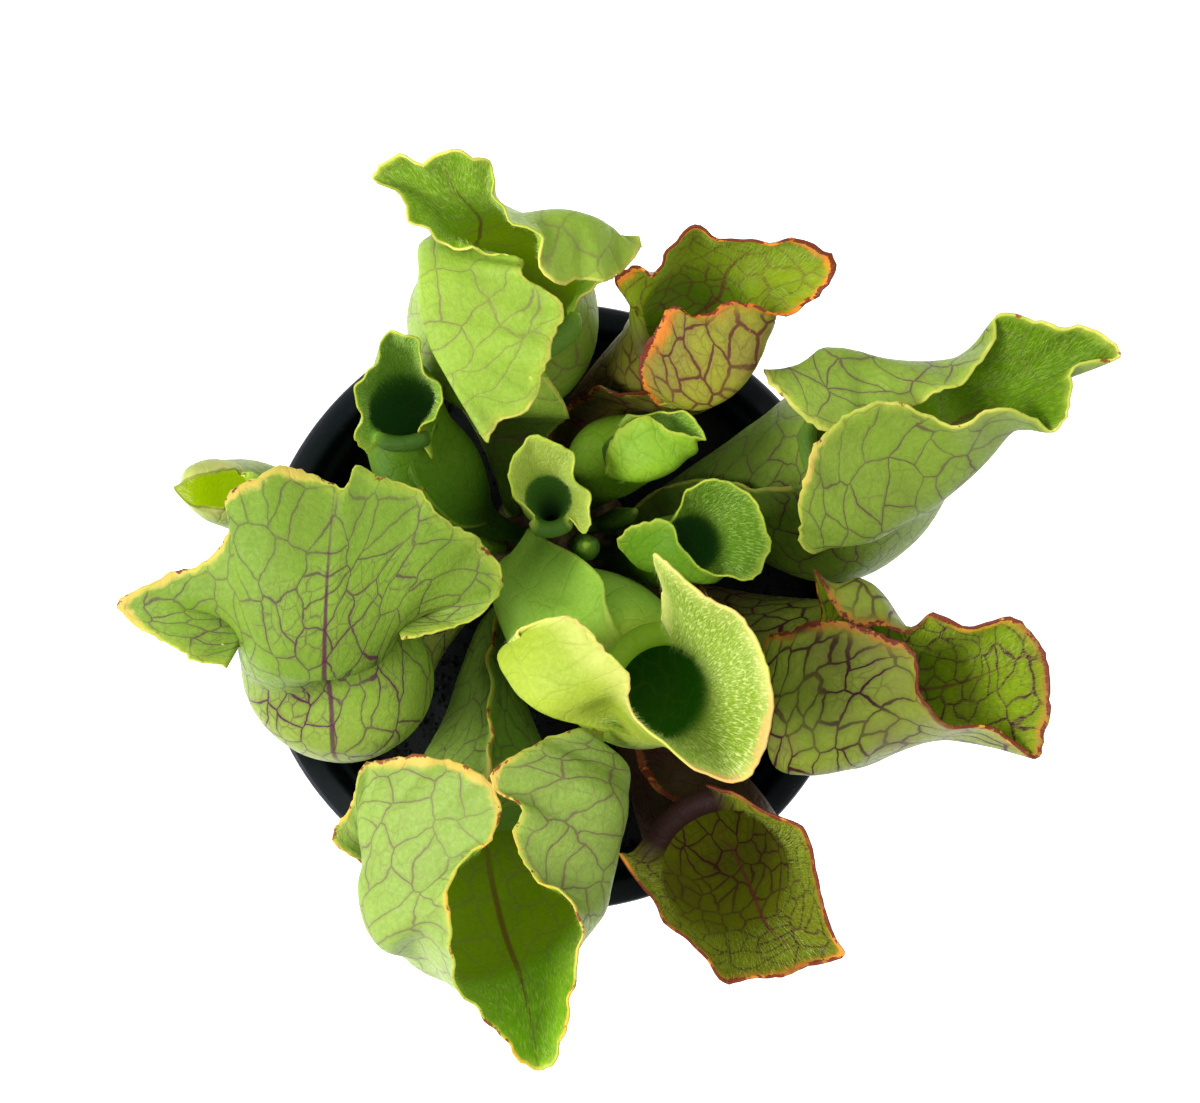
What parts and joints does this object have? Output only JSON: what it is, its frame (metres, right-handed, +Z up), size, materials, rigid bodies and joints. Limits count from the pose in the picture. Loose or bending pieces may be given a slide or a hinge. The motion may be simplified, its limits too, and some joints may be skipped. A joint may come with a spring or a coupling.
{
  "type": "potted pitcher plant",
  "caption": "Low rosette of tubular pitcher leaves with flared, wavy hoods and closed young leaves, growing from a short crown in a tapered round nursery pot filled with peat",
  "frame": {"origin": "centre of the pot's flat foot, on the surface it stands on", "axes": "+Z up along the pot's axis; +Y towards the top of the plan, where the north pitchers are; +X towards the east pitchers"},
  "size_m": [0.1828, 0.1666, 0.1823],
  "materials": {
    "pot_plastic": "black moulded nursery pot, satin",
    "peat": null,
    "rhizome": "brown woody crown with old leaf bases",
    "leaf_green": "yellow-green leaf, purple-brown net of veins, satin; leather stands in for leaf",
    "leaf_red_veined": "olive leaf with dense dark purple veins and an orange-red margin",
    "leaf_brown": "ageing leaf, brown outside, brown-veined yellow-green inside, orange margin",
    "leaf_lime": "lime-yellow leaf, hardly veined",
    "leaf_young": "fresh green young leaf, satin"
  },
  "bodies": {
    "root": {"pot": "pot_plastic", "potting_soil": "peat", "rhizome": "rhizome", "pitcher_north_west": "leaf_green", "pitcher_north": "leaf_red_veined", "pitcher_east": "leaf_green", "pitcher_east_low": "leaf_red_veined", "pitcher_south_east": "leaf_brown", "pitcher_south": "leaf_green", "pitcher_west": "leaf_green", "pitcher_centre_south": "leaf_lime", "pitcher_far_west": "leaf_lime", "pitcher_inner_north_west": "leaf_young", "pitcher_inner_centre": "leaf_young", "pitcher_inner_north_east": "leaf_young", "pitcher_inner_east": "leaf_young", "bud_middle": "leaf_young", "bud_east": "leaf_young"}
  },
  "joints": []
}
